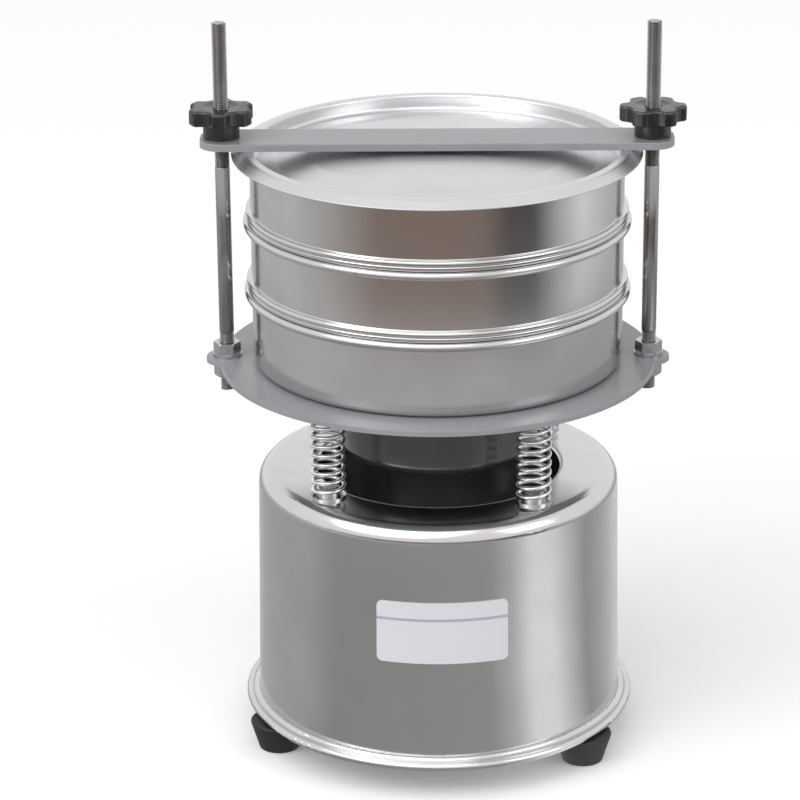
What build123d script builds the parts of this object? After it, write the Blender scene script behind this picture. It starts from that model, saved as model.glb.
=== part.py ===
from build123d import *
import os
from math import cos, radians, sin, sqrt

# Sieve shaker for 200 mm test sieves. Millimetres, +Z up, origin on the floor under the stack's axis.
# The front of the shaker faces -Y, and angles round the axis are counted from the front towards +X.

# Feet and bottom cover
foot_count = 3
foot_inset = 11.0
foot_turn = -65.7
foot_height = 16.5
foot_top_radius = 13.8
foot_bottom_radius = 10.8
foot_collar_radius = 6.0
foot_collar_height = 1.5
foot_recess_radius = 4.6
foot_recess_depth = 10.5
foot_edge = 1.0
cover_thickness = 1.2
cover_gap = 0.4
foot_screw_radius = 2.0
foot_screw_head_radius = 3.8
foot_screw_head_height = 2.6
foot_screw_head_edge = 0.9

# Base drum, a deep-drawn pot turned upside down
drum_height = 136.0
drum_top_radius = 99.5
drum_draft = 2.2
drum_sheet = 1.5
shoulder_radius = 9.0
deck_hole_radius = 67.0
deck_lip_depth = 5.0
deck_lip_radius = 2.6
brim_width = 7.3
brim_fillet = 2.2
brim_roll_radius = 2.3
pad_width = 18.0
pad_length = 15.0
pad_thickness = 5.0

# Label plate on the drum's front, left bare
label_width_angle = 40.8
label_turn = 1.2
label_bottom = 77.9
label_height = 35.0
label_thickness = 0.5
label_gap = 0.05

# Isolation springs between the drum's deck and the platform
spring_count = 4
spring_circle = 78.5
spring_turn = -49.1
spring_length = 57.4
spring_radius = 9.65
spring_wire = 2.3
spring_turns = 11
seat_thickness = 1.2
seat_spigot_radius = 6.6
seat_spigot_height = 5.0
seat_spigot_edge = 1.2
seat_screw_radius = 2.0
seat_screw_head_radius = 3.6
seat_screw_head_height = 1.6
seat_screw_reach = 4.0

# Platform plate with an ear for each clamp rod
plate_margin = 8.4
plate_thickness = 3.0
rod_inset = 3.4
ear_radius = 11.4
ear_blend = 6.0
plate_edge = 0.5

# Clamp rods with their nuts and washers
rod_radius = 4.0
rod_length = 206.3
rod_below_plate = 16.2
rod_chamfer = 0.8
hole_fit = 0.05
nut_across_flats = 13.0
nut_height = 6.5
nut_chamfer = 0.6
washer_radius = 8.0
washer_thickness = 1.6

# Vibration motor under the platform
motor_radius = 55.0
motor_depth = 47.5
motor_wall = 2.5
motor_floor = 2.5
motor_edge = 5.0
shield_thickness = 3.0
shield_gap = 0.2
bearing_radius = 11.0
bearing_width = 7.0
bearing_fit = 0.03
bearing_race = 1.8
bearing_groove_depth = 0.6
bearing_boss_wall = 2.5
shaft_radius = 4.0
shaft_end_gap = 0.4
stator_gap = 0.05
stator_height = 12.0
stator_bottom = 20.0
rotor_radius = 27.0
air_gap = 0.6
weight_radius = 37.0
weight_hub_radius = 9.0
lower_weight_height = 8.0
upper_weight_height = 5.5
weight_gap = 1.2
motor_screw_count = 4
motor_screw_circle = 47.5
motor_screw_radius = 2.5
motor_screw_head_radius = 4.6
motor_screw_reach = 8.0
motor_boss_radius = 6.0
motor_boss_height = 9.0

# Sieves, receiver pan and lid
mouth_radius = 100.1
sieve_sheet = 0.8
rim_width = 4.9
rim_height = 4.6
rim_round = 2.0
sieve_pitch = 38.5
pan_height = 42.4
pan_corner = 4.0
ridge_step = 3.3
ridge_height = 5.0
ridge_fillet = 1.2
nest_gap = 0.3
skirt_depth = 8.0
skirt_fillet = 1.0
mesh_thickness = 0.6
mesh_gap = 0.6
clamp_ring_height = 1.8
clamp_ring_width = 2.0
lid_sheet = 0.8
lid_overhang = 10.5
lid_droop = 3.6
lid_crest_width = 4.6
lid_recess = 8.2
lid_plateau_radius = 69.0
lid_plateau_rise = 4.0
lid_channel_width = 14.0
lid_crest_bend = 4.0
lid_rim_bend = 1.4
lid_recess_bend = 2.0
lid_plateau_bend = 6.0

# Crossbar and its two knobs
bar_overhang = 11.6
bar_width = 31.0
bar_thickness = 4.0
bar_corner = 12.0
bar_hole_gap = 0.5
bar_edge = 0.6
knob_radius = 18.0
knob_lobes = 6
knob_valley_radius = 14.4
knob_scallop_radius = 6.5
knob_lobe_fillet = 2.4
knob_height = 17.0
knob_star_height = 8.5
knob_hub_radius = 9.8
knob_edge = 1.5
knob_dish_depth = 1.2
knob_dish_radius = 10.0
insert_radius = 6.0
insert_length = 13.0
left_knob_turn = 0.0
right_knob_turn = 30.0

# Cable gland and rocker switch on the rear wall, capacitor and terminal block inside
gland_height = 48.0
gland_turn = -158.0
gland_bore_radius = 3.5
gland_thread_radius = 6.0
gland_hex = 17.0
gland_hex_height = 4.5
gland_dome_radius = 7.4
gland_dome_height = 8.0
gland_dome_edge = 3.6
gland_thread_length = 10.0
locknut_height = 4.0
switch_height = 48.0
switch_turn = 158.0
switch_bezel_radius = 13.0
switch_bezel_height = 2.4
switch_bezel_edge = 0.8
switch_barrel_radius = 11.0
switch_barrel_depth = 16.0
rocker_length = 14.0
rocker_width = 10.0
rocker_gap = 0.4
rocker_tilt = 10.0
rocker_crown = 2.4
rocker_dip = 1.2
rocker_skirt = 2.0
rocker_pivot_depth = 3.4
rocker_pin_radius = 1.0
rocker_pin_reach = 1.6
switch_well_depth = 9.0
capacitor_radius = 17.5
capacitor_height = 58.0
capacitor_offset = 45.0
capacitor_edge = 2.0
clip_thickness = 1.2
clip_height = 12.0
clip_gap = 0.1
clip_foot = 12.0
terminal_length = 38.0
terminal_width = 20.0
terminal_height = 15.0
terminal_offset = -45.0
terminal_ways = 4
terminal_bore_radius = 2.0
terminal_wire_radius = 1.6
terminal_edge = 1.0
wall_seat_sink = 2.0
wall_gap = 0.05

# Radii and offsets that follow from the sizes above
rim_radius = mouth_radius + rim_width
ridge_radius = mouth_radius + ridge_step
lid_radius = mouth_radius + lid_overhang
plate_radius = lid_radius + plate_margin
rod_offset = plate_radius - rod_inset
bar_half_length = rod_offset + bar_overhang
drum_bottom_radius = drum_top_radius + drum_draft
brim_radius = drum_bottom_radius + brim_width
foot_circle = brim_radius - foot_inset

# Levels, from the floor up
cover_bottom = foot_height + foot_collar_height
cover_top = cover_bottom + cover_thickness
deck_top = cover_top + drum_height
spring_bottom = deck_top + seat_thickness
spring_top = spring_bottom + spring_length
plate_bottom = spring_top + seat_thickness
plate_top = plate_bottom + plate_thickness
motor_bottom = plate_bottom - motor_depth
shield_bottom = plate_bottom - shield_thickness
rod_bottom = plate_top - rod_below_plate - plate_thickness
pan_seat = plate_top + pan_height
sieve_2_seat = pan_seat + sieve_pitch
sieve_1_seat = sieve_2_seat + sieve_pitch
lid_top = sieve_1_seat + lid_sheet
bar_bottom = lid_top
bar_top = bar_bottom + bar_thickness
BASE = (Align.CENTER, Align.CENTER, Align.MIN)


def around(radius, angle):
    """The place on a circle about the axis, at an angle from the front towards +X."""
    return Vector(radius * sin(radians(angle)), -radius * cos(radians(angle)))


def facing(radius, angle, height):
    """A location on a wall: local +Z points outwards, and local +Y points up."""
    place = around(radius, angle)
    outwards = around(1, angle)
    along = Vector(0, 0, 1).cross(outwards)
    return Plane(origin=(place.X, place.Y, height), x_dir=along, z_dir=outwards).location


def tube(outer, inner, bottom, height):
    """A ring with square edges."""
    return Pos(0, 0, bottom) * (Cylinder(outer, height, align=BASE) - Cylinder(inner, height, align=BASE))


def turned(outline):
    """A closed outline of radius and height, turned about the axis."""
    return revolve(Plane.XZ * make_face(outline), Axis.Z)


def pressed(points, radii, thickness, side=Side.RIGHT):
    """A sheet ring or dish, whose face follows the points, with a radius at each corner between."""
    path = FilletPolyline(*points, radius=radii)
    return turned(offset(path, thickness, side=side))


def drum_wall_radius(height):
    """The outer radius of the drum's drafted wall at a height."""
    fall = (deck_top - height) / drum_height
    return drum_top_radius + (drum_bottom_radius - drum_top_radius) * fall


def drum_envelope(gap):
    """The outside of the drum's wall as a solid cone, for pieces that are shaped to sit on it."""
    top = drum_top_radius + gap
    bottom = drum_bottom_radius + gap
    return Pos(0, 0, cover_top) * Cone(bottom, top, drum_height, align=BASE)


def foot_angles():
    return [foot_turn + n * 360 / foot_count for n in range(foot_count)]


def spring_angles():
    return [spring_turn + n * 360 / spring_count for n in range(spring_count)]


def placed(piece, radius, angles):
    """Copies of a piece on the axis, set on a circle."""
    return [Pos(*around(radius, angle)) * piece for angle in angles]


def rubber_foot():
    """A tapered foot with a collar under the cover and a recess for its screw."""
    body = Cone(foot_bottom_radius, foot_top_radius, foot_height, align=BASE)
    body = fillet(body.edges().filter_by(GeomType.CIRCLE), foot_edge)
    body += Cylinder(foot_collar_radius, cover_bottom, align=BASE)
    body -= Cylinder(foot_recess_radius, foot_recess_depth, align=BASE)
    return body - Cylinder(foot_screw_radius + hole_fit, cover_bottom, align=BASE)


def foot_screw():
    """A pan-head screw up through the foot and the cover into the drum's pad."""
    length = cover_top + pad_thickness - foot_recess_depth
    shank = Pos(0, 0, foot_recess_depth) * Cylinder(foot_screw_radius, length, align=BASE)
    head_bottom = foot_recess_depth - foot_screw_head_height
    head = Pos(0, 0, head_bottom) * Cylinder(foot_screw_head_radius, foot_screw_head_height, align=BASE)
    head = fillet(head.edges().sort_by(Axis.Z)[0], foot_screw_head_edge)
    return shank + head


def bottom_cover():
    """The flat cover inside the brim's roll, held by the foot screws."""
    radius = brim_radius - 2 * brim_roll_radius - cover_gap
    cover = Pos(0, 0, cover_bottom) * Cylinder(radius, cover_thickness, align=BASE)
    hole = Pos(0, 0, cover_bottom) * Cylinder(foot_screw_radius + hole_fit, cover_thickness, align=BASE)
    return cover - placed(hole, foot_circle, foot_angles())


def base_drum():
    """The drawn pot: a deck with a turned-down hole, a drafted wall and a brim with a rolled edge."""
    flange_top = cover_top + drum_sheet
    roll_centre = brim_radius - brim_roll_radius
    path = [
        (deck_hole_radius, deck_top - deck_lip_depth),
        (deck_hole_radius, deck_top),
        (drum_top_radius, deck_top),
        (drum_bottom_radius, flange_top),
        (roll_centre, flange_top),
    ]
    drum = pressed(path, [deck_lip_radius, shoulder_radius, brim_fillet], drum_sheet)
    drum += Pos(0, 0, cover_top) * Torus(roll_centre, brim_roll_radius)
    pad_end = drum_bottom_radius - drum_sheet / 2
    pad = Box(pad_width, pad_length, pad_thickness, align=(Align.CENTER, Align.MIN, Align.MIN))
    screw_hole = Cylinder(foot_screw_radius + hole_fit, pad_thickness, align=BASE)
    pad -= Pos(0, pad_end - foot_circle, 0) * screw_hole
    for angle in foot_angles():
        drum += Rot(0, 0, angle) * Pos(0, -pad_end, cover_top) * pad
    seat_hole = Cylinder(seat_screw_radius + hole_fit, drum_sheet, align=BASE)
    drum -= placed(Pos(0, 0, deck_top - drum_sheet) * seat_hole, spring_circle, spring_angles())
    gland_hole = Cylinder(gland_thread_radius + hole_fit, brim_radius, align=BASE)
    drum -= facing(0, gland_turn, gland_height) * gland_hole
    switch_hole = Cylinder(switch_barrel_radius + hole_fit, brim_radius, align=BASE)
    return drum - facing(0, switch_turn, switch_height) * switch_hole


def label_plate():
    """A bare plate, curved to the drum's wall."""
    label_top = label_bottom + label_height
    low = drum_wall_radius(label_bottom) + label_gap
    high = drum_wall_radius(label_top) + label_gap
    outline = Polyline(
        (low, label_bottom), (low + label_thickness, label_bottom),
        (high + label_thickness, label_top), (high, label_top), close=True,
    )
    plate = revolve(Plane.XZ * make_face(outline), Axis.Z, label_width_angle)
    return Rot(0, 0, label_turn - 90 - label_width_angle / 2) * plate


def coil_spring(angle):
    """A compression spring of round wire, with both ends ground flat on their seats."""
    middle = spring_radius - spring_wire / 2
    pitch = spring_length / spring_turns
    path = Helix(pitch=pitch, height=spring_length, radius=middle)
    section = Plane(origin=path @ 0, z_dir=path % 0) * Circle(spring_wire / 2)
    coil = sweep(section, path=path, is_frenet=True)
    between_seats = Cylinder(spring_radius + spring_wire, spring_length, align=BASE)
    return Pos(*around(spring_circle, angle)) * Pos(0, 0, spring_bottom) * (coil & between_seats)


def spring_seat():
    """A disc with a spigot that keeps the spring's end coil in place, seen from its flat side down."""
    seat = Cylinder(spring_radius, seat_thickness, align=BASE)
    spigot = Pos(0, 0, seat_thickness) * Cylinder(seat_spigot_radius, seat_spigot_height, align=BASE)
    spigot = chamfer(spigot.edges().sort_by(Axis.Z)[-1], seat_spigot_edge)
    return seat + spigot - Cylinder(seat_screw_radius + hole_fit, seat_screw_reach, align=BASE)


def deck_seat_screw():
    """A screw up through the drum's deck into a spring seat, with its head inside the drum."""
    length = drum_sheet + seat_screw_reach
    shank = Cylinder(seat_screw_radius, length, align=BASE)
    head = Cylinder(seat_screw_head_radius, seat_screw_head_height, align=BASE)
    return Pos(0, 0, deck_top - drum_sheet) * (shank + Pos(0, 0, -seat_screw_head_height) * head)


def plate_seat_screw():
    """A countersunk screw down through the platform into a spring seat, head up and flush."""
    rise = seat_screw_head_radius - seat_screw_radius
    length = plate_thickness + seat_screw_reach
    shank = Pos(0, 0, -seat_screw_reach) * Cylinder(seat_screw_radius, length, align=BASE)
    head = Cone(seat_screw_radius, seat_screw_head_radius, rise, align=BASE)
    return shank + Pos(0, 0, plate_thickness - rise) * head


def lower_spring_seats():
    return placed(Pos(0, 0, deck_top) * spring_seat(), spring_circle, spring_angles())


def upper_spring_seats():
    return placed(Pos(0, 0, plate_bottom) * Rot(180, 0, 0) * spring_seat(), spring_circle, spring_angles())


def lower_seat_screws():
    return placed(deck_seat_screw(), spring_circle, spring_angles())


def upper_seat_screws():
    return placed(Pos(0, 0, plate_bottom) * plate_seat_screw(), spring_circle, spring_angles())


def motor_screw_angles():
    return [45 + n * 360 / motor_screw_count for n in range(motor_screw_count)]


def motor_screw():
    """A countersunk screw down through the platform into a boss of the motor's housing."""
    rise = motor_screw_head_radius - motor_screw_radius
    length = plate_thickness + shield_thickness + motor_screw_reach
    shank = Pos(0, 0, plate_top - length) * Cylinder(motor_screw_radius, length, align=BASE)
    head = Cone(motor_screw_radius, motor_screw_head_radius, rise, align=BASE)
    return shank + Pos(0, 0, plate_top - rise) * head


def motor_screws():
    return placed(motor_screw(), motor_screw_circle, motor_screw_angles())


def platform_plate():
    """A flat round plate with a rounded ear for each rod, drilled for rods, spring seats and motor."""
    outline = Circle(plate_radius)
    for side in (-1, 1):
        ear = SlotCenterToCenter(2 * ear_radius, 2 * ear_radius)
        outline += Pos(side * (rod_offset - ear_radius), 0) * ear
    necks = outline.vertices().filter_by(lambda v: abs(v.Y) > ear_radius / 2)
    outline = fillet(necks, ear_blend)
    plate = extrude(outline, plate_thickness)
    top = plate.edges().group_by(Axis.Z)[-1]
    plate = Pos(0, 0, plate_bottom) * fillet(top, plate_edge)
    rod_hole = Pos(0, 0, plate_bottom) * Cylinder(rod_radius + hole_fit, plate_thickness, align=BASE)
    for side in (-1, 1):
        plate -= Pos(side * rod_offset, 0, 0) * rod_hole
    seat_hole = Pos(0, 0, plate_bottom) * countersunk(seat_screw_radius, seat_screw_head_radius)
    plate -= placed(seat_hole, spring_circle, spring_angles())
    motor_hole = Pos(0, 0, plate_bottom) * countersunk(motor_screw_radius, motor_screw_head_radius)
    return plate - placed(motor_hole, motor_screw_circle, motor_screw_angles())


def countersunk(radius, head_radius):
    """The hole in the platform for a countersunk screw."""
    rise = head_radius - radius
    hole = Cylinder(radius + hole_fit, plate_thickness, align=BASE)
    cone = Cone(radius + hole_fit, head_radius + hole_fit, rise, align=BASE)
    return hole + Pos(0, 0, plate_thickness - rise) * cone


def motor_housing():
    """A cup with a rounded lower edge, a boss for the lower bearing and screw bosses at its mouth."""
    inside = motor_radius - motor_wall
    cup = Cylinder(motor_radius, motor_depth, align=BASE)
    cup = fillet(cup.edges().sort_by(Axis.Z)[0], motor_edge)
    cavity = Pos(0, 0, motor_floor) * Cylinder(inside, motor_depth, align=BASE)
    cup -= fillet(cavity.edges().sort_by(Axis.Z)[0], motor_edge - motor_wall)
    boss_radius = bearing_radius + bearing_boss_wall
    cup += tube(boss_radius, bearing_radius + bearing_fit, motor_floor, bearing_width)
    boss_bottom = motor_depth - shield_thickness - motor_boss_height
    boss = Pos(0, 0, boss_bottom) * Cylinder(motor_boss_radius, motor_boss_height, align=BASE)
    within = Cylinder(motor_radius - motor_wall / 2, motor_depth, align=BASE)
    cup += [boss & within for boss in placed(boss, motor_screw_circle, motor_screw_angles())]
    hole = Pos(0, 0, boss_bottom) * Cylinder(motor_screw_radius + hole_fit, motor_boss_height, align=BASE)
    return Pos(0, 0, motor_bottom) * (cup - placed(hole, motor_screw_circle, motor_screw_angles()))


def motor_shield():
    """The end shield over the cup's mouth, which holds the upper bearing."""
    outer = motor_radius - motor_wall - shield_gap
    shield = Pos(0, 0, shield_bottom) * Cylinder(outer, shield_thickness, align=BASE)
    boss_height = bearing_width - shield_thickness
    boss_radius = bearing_radius + bearing_boss_wall
    shield += Pos(0, 0, shield_bottom - boss_height) * Cylinder(boss_radius, boss_height, align=BASE)
    bore = bearing_radius + bearing_fit
    shield -= Pos(0, 0, plate_bottom - bearing_width) * Cylinder(bore, bearing_width, align=BASE)
    hole = Pos(0, 0, shield_bottom) * Cylinder(motor_screw_radius + hole_fit, shield_thickness, align=BASE)
    return shield - placed(hole, motor_screw_circle, motor_screw_angles())


def bearing(bottom):
    """A sealed ball bearing, with a groove in each face between its races."""
    ring = tube(bearing_radius, shaft_radius + bearing_fit, bottom, bearing_width)
    groove = tube(bearing_radius - bearing_race, shaft_radius + bearing_race, 0, bearing_groove_depth)
    ring -= Pos(0, 0, bottom) * groove
    return ring - Pos(0, 0, bottom + bearing_width - bearing_groove_depth) * groove


def motor_stator():
    """The laminated stator ring, pressed into the housing."""
    outer = motor_radius - motor_wall - stator_gap
    return tube(outer, rotor_radius + air_gap, motor_bottom + stator_bottom, stator_height)


def rotor_core():
    return tube(rotor_radius, shaft_radius, motor_bottom + stator_bottom, stator_height)


def motor_shaft():
    """The shaft, from the lower bearing to the upper one."""
    bottom = motor_bottom + motor_floor + shaft_end_gap
    return Pos(0, 0, bottom) * Cylinder(shaft_radius, plate_bottom - shaft_end_gap - bottom, align=BASE)


def eccentric_weight(bottom, height):
    """A half disc on a hub, which throws the motor out of balance."""
    half = Circle(weight_radius) & Pos(0, -weight_radius / 2) * Rectangle(2 * weight_radius, weight_radius)
    outline = half + Circle(weight_hub_radius) - Circle(shaft_radius)
    return Pos(0, 0, bottom) * extrude(outline, height)


def lower_weight():
    top = motor_bottom + stator_bottom - weight_gap
    return eccentric_weight(top - lower_weight_height, lower_weight_height)


def upper_weight():
    return eccentric_weight(motor_bottom + stator_bottom + stator_height + weight_gap, upper_weight_height)


def clamp_rod(side):
    """A rod through the platform's ear, threaded from end to end."""
    rod = Cylinder(rod_radius, rod_length, align=BASE)
    rod = chamfer(rod.edges().filter_by(GeomType.CIRCLE), rod_chamfer)
    return Pos(side * rod_offset, 0, rod_bottom) * rod


def hex_nut():
    """A hexagon nut with its corners chamfered, standing on the XY plane."""
    nut = extrude(RegularPolygon(nut_across_flats / 2, 6, major_radius=False), nut_height)
    corner = nut_across_flats / sqrt(3)
    bevel = Cylinder(corner, nut_height, align=BASE)
    nut &= chamfer(bevel.edges().filter_by(GeomType.CIRCLE), nut_chamfer)
    return nut - Cylinder(rod_radius + hole_fit, nut_height, align=BASE)


def beside_rods(piece):
    """A copy of a piece at each rod."""
    return [Pos(side * rod_offset, 0, 0) * piece for side in (-1, 1)]


def upper_rod_nuts():
    return beside_rods(Pos(0, 0, plate_top + washer_thickness) * hex_nut())


def lower_rod_nuts():
    return beside_rods(Pos(0, 0, plate_bottom - washer_thickness - nut_height) * hex_nut())


def rod_washers():
    upper = tube(washer_radius, rod_radius + hole_fit, plate_top, washer_thickness)
    lower = tube(washer_radius, rod_radius + hole_fit, plate_bottom - washer_thickness, washer_thickness)
    return beside_rods(upper) + beside_rods(lower)


def rolled_rim(seat):
    """The rolled rim of a sieve or of the pan, with its flat top at the seat's level."""
    section = RectangleRounded(rim_width, rim_height, rim_round, align=(Align.MIN, Align.MAX))
    return revolve(Plane.XZ * (Pos(mouth_radius, seat) * section), Axis.Z)


def sieve_frame(bottom_seat):
    """A drawn sieve frame: rolled rim, wall, swaged ridge and the skirt that nests in the mouth below."""
    top_seat = bottom_seat + sieve_pitch
    wall = mouth_radius + sieve_sheet
    skirt = mouth_radius - nest_gap
    path = [
        (wall, top_seat - rim_height / 2),
        (wall, bottom_seat + ridge_height),
        (ridge_radius, bottom_seat + ridge_height - ridge_fillet),
        (ridge_radius, bottom_seat),
        (skirt, bottom_seat),
        (skirt, bottom_seat - skirt_depth),
    ]
    radii = [ridge_fillet / 2, ridge_fillet, skirt_fillet, skirt_fillet / 2]
    return pressed(path, radii, sieve_sheet) + rolled_rim(top_seat)


def sieve_mesh(bottom_seat):
    """The woven cloth as one thin disc, lying on the ridge's inner ledge."""
    radius = ridge_radius - sieve_sheet - mesh_gap
    return Pos(0, 0, bottom_seat + sieve_sheet) * Cylinder(radius, mesh_thickness, align=BASE)


def mesh_clamp_ring(bottom_seat):
    """The ring that holds the cloth down inside the ridge."""
    outer = ridge_radius - sieve_sheet - mesh_gap
    bottom = bottom_seat + sieve_sheet + mesh_thickness
    return tube(outer, outer - clamp_ring_width, bottom, clamp_ring_height)


def receiver_pan():
    """A drawn pan with the sieves' rolled rim and a flat floor."""
    wall = mouth_radius + sieve_sheet
    path = [(wall, pan_seat - rim_height / 2), (wall, plate_top), (0, plate_top)]
    return pressed(path, [pan_corner], sieve_sheet) + rolled_rim(pan_seat)


def lid():
    """A pressed lid: a drooping flange, a flat crest, a recess that fits the mouth and a raised middle."""
    plug = mouth_radius - nest_gap
    crest = plug + lid_crest_width
    floor = lid_top - lid_recess
    path = [
        (lid_radius, lid_top - lid_droop),
        (crest, lid_top),
        (plug - lid_sheet, lid_top),
        (plug - lid_sheet, floor),
        (plug - lid_channel_width, floor),
        (lid_plateau_radius, floor + lid_plateau_rise),
        (0, floor + lid_plateau_rise),
    ]
    radii = [lid_crest_bend, lid_rim_bend, lid_recess_bend, lid_plateau_bend, lid_plateau_bend]
    return pressed(path, radii, lid_sheet, Side.LEFT)


def crossbar():
    """A flat bar with rounded corners and a clearance hole for each rod."""
    outline = RectangleRounded(2 * bar_half_length, bar_width, bar_corner)
    bar = fillet(extrude(outline, bar_thickness).edges().group_by(Axis.Z)[-1], bar_edge)
    hole = Cylinder(rod_radius + bar_hole_gap, bar_thickness, align=BASE)
    for side in (-1, 1):
        bar -= Pos(side * rod_offset, 0, 0) * hole
    return Pos(0, 0, bar_bottom) * bar


def star_knob(side, turn):
    """A lobed knob on a hub, with a shallow dish in its top and a bore for the rod."""
    scallops = [turn + 360 * (n + 0.5) / knob_lobes for n in range(knob_lobes)]
    star = Circle(knob_radius)
    star -= placed(Circle(knob_scallop_radius), knob_valley_radius + knob_scallop_radius, scallops)
    star = fillet(star.vertices(), knob_lobe_fillet)
    head = extrude(star, knob_star_height)
    head = fillet(head.edges().group_by(Axis.Z)[-1], knob_edge)
    head = chamfer(head.edges().group_by(Axis.Z)[0], knob_edge / 2)
    knob = Pos(0, 0, knob_height - knob_star_height) * head
    knob += Cylinder(knob_hub_radius, knob_height - knob_star_height, align=BASE)
    dish_sphere = (knob_dish_radius ** 2 + knob_dish_depth ** 2) / (2 * knob_dish_depth)
    knob -= Pos(0, 0, knob_height - knob_dish_depth + dish_sphere) * Sphere(dish_sphere)
    knob -= Cylinder(rod_radius + bar_hole_gap, knob_height, align=BASE)
    knob -= Cylinder(insert_radius, insert_length, align=BASE)
    return Pos(side * rod_offset, 0, bar_top) * knob


def knob_insert(side):
    """The threaded brass insert moulded into a knob."""
    return Pos(side * rod_offset, 0, 0) * tube(insert_radius, rod_radius + hole_fit, bar_top, insert_length)


def cable_gland():
    """The gland's body: a hexagon seated on the drum's wall, a dome and a thread through the wall."""
    wall = drum_wall_radius(gland_height)
    hex_length = gland_hex_height + wall_seat_sink
    hexagon = extrude(RegularPolygon(gland_hex / 2, 6, major_radius=False), hex_length)
    dome = Cylinder(gland_dome_radius, hex_length + gland_dome_height, align=BASE)
    dome = fillet(dome.edges().sort_by(Axis.Z)[-1], gland_dome_edge)
    outside = facing(wall - wall_seat_sink, gland_turn, gland_height) * (hexagon + dome)
    outside -= drum_envelope(wall_gap)
    thread = Cylinder(gland_thread_radius, gland_thread_length + wall_seat_sink, align=BASE)
    body = outside + facing(wall - gland_thread_length, gland_turn, gland_height) * thread
    bore = Cylinder(gland_bore_radius, 2 * wall, align=BASE)
    return body - facing(0, gland_turn, gland_height) * bore


def gland_locknut():
    """The nut that holds the gland from inside the drum."""
    corner = gland_hex / sqrt(3)
    walls = [drum_wall_radius(gland_height + side * corner) for side in (-1, 1)]
    face = sqrt((min(walls) - drum_sheet) ** 2 - corner ** 2) - wall_gap
    nut = extrude(RegularPolygon(gland_hex / 2, 6, major_radius=False), locknut_height)
    nut -= Cylinder(gland_thread_radius + hole_fit, locknut_height, align=BASE)
    return facing(face - locknut_height, gland_turn, gland_height) * nut


def switch_at(depth):
    """A location on the switch's axis, at a depth under its bezel's face."""
    face = drum_wall_radius(switch_height) + switch_bezel_height
    return facing(face - depth, switch_turn, switch_height)


def rocker_swing():
    """Half the height that the rocker sweeps in its window."""
    tilt = radians(rocker_tilt)
    return rocker_length / 2 * cos(tilt) + (rocker_crown + rocker_pivot_depth) * sin(tilt)


def switch_housing():
    """A round switch's body: a bezel on the drum's wall, a barrel and a window with the pivot's holes."""
    seat = switch_bezel_height + wall_seat_sink
    bezel = Cylinder(switch_bezel_radius, seat, align=BASE)
    bezel = fillet(bezel.edges().sort_by(Axis.Z)[-1], switch_bezel_edge)
    bezel = switch_at(seat) * bezel - drum_envelope(wall_gap)
    depth = switch_barrel_depth + switch_bezel_height
    barrel = switch_at(depth) * Cylinder(switch_barrel_radius, switch_barrel_depth + seat / 2, align=BASE)
    window_height = 2 * (rocker_swing() + rocker_gap)
    window = Box(rocker_width + 2 * rocker_gap, window_height, switch_well_depth, align=BASE)
    pin_length = rocker_width + 2 * (rocker_gap + rocker_pin_reach)
    pin_hole = Rot(0, 90, 0) * Cylinder(rocker_pin_radius + hole_fit, pin_length)
    housing = bezel + barrel - switch_at(switch_well_depth) * window
    return housing - switch_at(rocker_pivot_depth) * pin_hole


def switch_rocker():
    """The rocker on its two pins, tilted to its off position."""
    half = rocker_length / 2
    outline = Polyline(
        (-half, rocker_crown), (0, rocker_dip), (half, rocker_crown), (half, -rocker_skirt),
        (0, -rocker_pivot_depth - rocker_pin_radius), (-half, -rocker_skirt), close=True,
    )
    side_view = Pos(0, rocker_pivot_depth) * make_face(outline)
    paddle = extrude(Plane.YZ * side_view, rocker_width / 2, both=True)
    paddle = fillet(paddle.edges().filter_by(Axis.X).group_by(Axis.Z)[-1], rocker_gap)
    pin = Rot(0, 90, 0) * Cylinder(rocker_pin_radius, rocker_width + 2 * rocker_pin_reach)
    return switch_at(rocker_pivot_depth) * Rot(-rocker_tilt, 0, 0) * (paddle + pin)


def capacitor():
    """The motor's run capacitor, standing on the bottom cover."""
    can = Cylinder(capacitor_radius, capacitor_height, align=BASE)
    can = fillet(can.edges().filter_by(GeomType.CIRCLE), capacitor_edge)
    return Pos(capacitor_offset, 0, cover_top) * can


def capacitor_clip():
    """The band round the capacitor's foot, with a tab on the bottom cover."""
    inner = capacitor_radius + clip_gap
    band = tube(inner + clip_thickness, inner, 0, clip_height)
    tab = Box(clip_foot, clip_foot, clip_thickness, align=(Align.MIN, Align.CENTER, Align.MIN))
    band += Pos(inner + clip_thickness / 2, 0, 0) * tab
    return Pos(capacitor_offset, 0, cover_top) * band


def terminal_block():
    """A block with a row of screw wells above and a row of wire holes through it."""
    block = Box(terminal_width, terminal_length, terminal_height, align=BASE)
    block = fillet(block.edges().group_by(Axis.Z)[-1], terminal_edge)
    pitch = terminal_length / terminal_ways
    well = Cylinder(terminal_bore_radius, terminal_height / 2, align=BASE)
    wire_hole = Rot(0, 90, 0) * Cylinder(terminal_wire_radius, terminal_width)
    for n in range(terminal_ways):
        along = (n + 0.5) * pitch - terminal_length / 2
        block -= Pos(0, along, terminal_height / 3) * wire_hole
        for side in (-1, 1):
            block -= Pos(side * terminal_width / 4, along, terminal_height / 2) * well
    return Pos(terminal_offset, 0, cover_top) * block


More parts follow.
